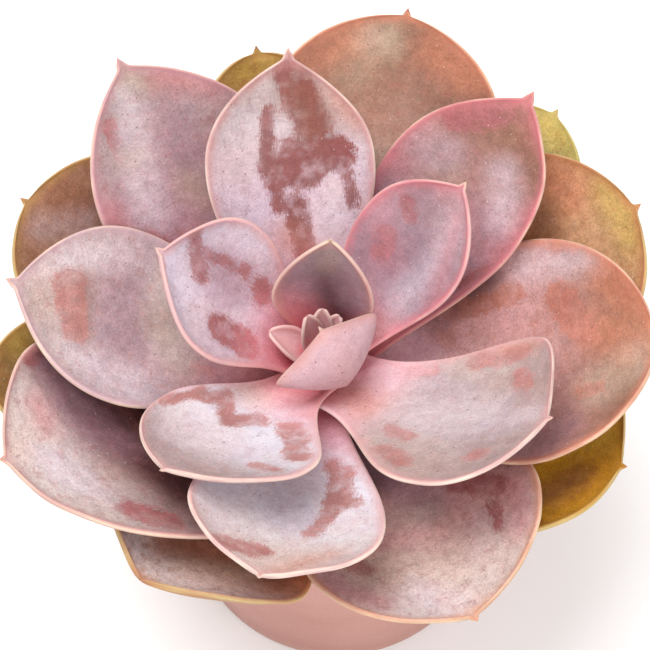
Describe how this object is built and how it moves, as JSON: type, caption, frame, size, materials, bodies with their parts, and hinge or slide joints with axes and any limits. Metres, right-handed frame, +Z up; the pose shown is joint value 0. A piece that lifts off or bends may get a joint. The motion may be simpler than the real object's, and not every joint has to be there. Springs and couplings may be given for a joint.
{
  "type": "potted succulent",
  "caption": "Rosette succulent with fleshy cupped leaves, growing from a short stem in a soil-filled round tapered pot that stands on its flat base.",
  "frame": {"origin": "middle of the pot's flat underside, on the surface the pot stands on", "axes": "+Z up along the pot's axis; -Y is the front, the side that the picture was taken from; +X is to the right in the picture"},
  "size_m": [0.1561, 0.1491, 0.1304],
  "materials": {
    "pot": "satin-matte dusty pink, fine-grained, slightly worn at the rim",
    "soil": "rough dark potting mix with pale grit",
    "stem": "dull corky skin ringed with old leaf scars",
    "leaf_outer": "satin olive-brown flesh with yellow-green margins",
    "leaf_middle": "satin dusty mauve-rose flesh with a waxy bloom, cream and salmon margins",
    "leaf_inner": "pale lavender-pink waxy bloom, rubbed off in red-brown patches, cream margins"
  },
  "bodies": {
    "root": {"pot": "pot", "soil": "soil", "stem": "stem", "bud": "leaf_inner", "leaf_01": "leaf_outer", "leaf_02": "leaf_outer", "leaf_03": "leaf_outer", "leaf_04": "leaf_outer", "leaf_05": "leaf_outer", "leaf_06": "leaf_outer", "leaf_07": "leaf_outer", "leaf_08": "leaf_middle", "leaf_09": "leaf_middle", "leaf_10": "leaf_middle", "leaf_11": "leaf_middle", "leaf_12": "leaf_middle", "leaf_13": "leaf_middle", "leaf_14": "leaf_middle", "leaf_15": "leaf_inner", "leaf_16": "leaf_inner", "leaf_17": "leaf_inner", "leaf_18": "leaf_inner", "leaf_19": "leaf_inner", "leaf_20": "leaf_inner", "leaf_21": "leaf_inner", "leaf_22": "leaf_inner"}
  },
  "joints": []
}
